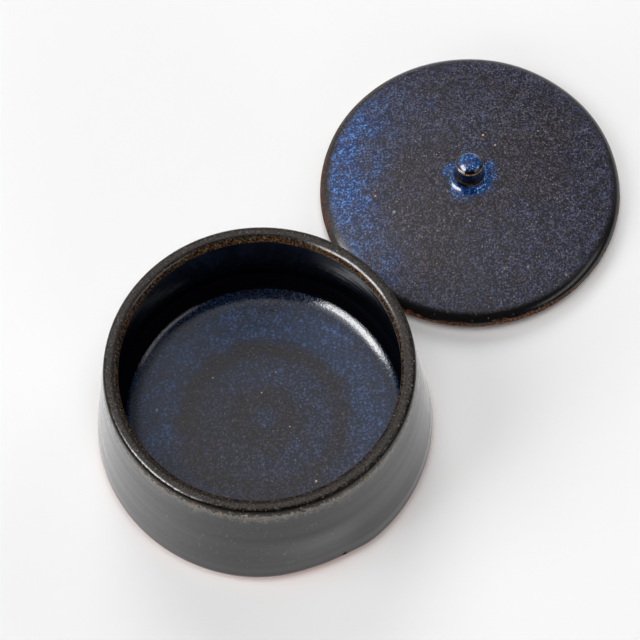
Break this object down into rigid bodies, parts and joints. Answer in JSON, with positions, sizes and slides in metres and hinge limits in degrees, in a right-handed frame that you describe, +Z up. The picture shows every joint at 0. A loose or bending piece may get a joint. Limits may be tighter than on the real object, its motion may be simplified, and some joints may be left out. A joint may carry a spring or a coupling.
{
  "type": "lidded yarn bowl",
  "caption": "Wide stoneware bowl narrowing to a thick rounded rim, with a loose domed disc lid and small drum knob; holds a ball of yarn.",
  "frame": {"origin": "centre of the flat underside of the bowl's foot, on the surface the bowl stands on", "axes": "+Z up along the bowl's turning axis, out of its mouth; the loose lid lies towards +X and +Y on the same surface"},
  "size_m": [0.2902, 0.3025, 0.08],
  "materials": {
    "bowl_glaze": "satin to gloss dark iron glaze with fine blue speckle inside, satin charcoal outside, brown where it breaks on the rim",
    "foot_clay": "bare matt red-brown stoneware with fine grog",
    "lid_glaze": "satin near-black glaze with dense fine blue speckle, brown on the edges",
    "ring_clay": "bare matt red-brown stoneware",
    "knob_glaze": "gloss bright blue speckled top, near-black side, tan break on its edge"
  },
  "bodies": {
    "bowl": {"bowl_body": "bowl_glaze", "bowl_foot": "foot_clay"},
    "lid": {"lid_plate": "lid_glaze", "lid_locating_ring": "ring_clay", "lid_knob": "knob_glaze"}
  },
  "joints": [
    {"name": "lid_lift", "type": "slide", "parent": "bowl", "child": "lid", "axis": [0, 0, 1], "range_m": [0, 0.12]}
  ]
}
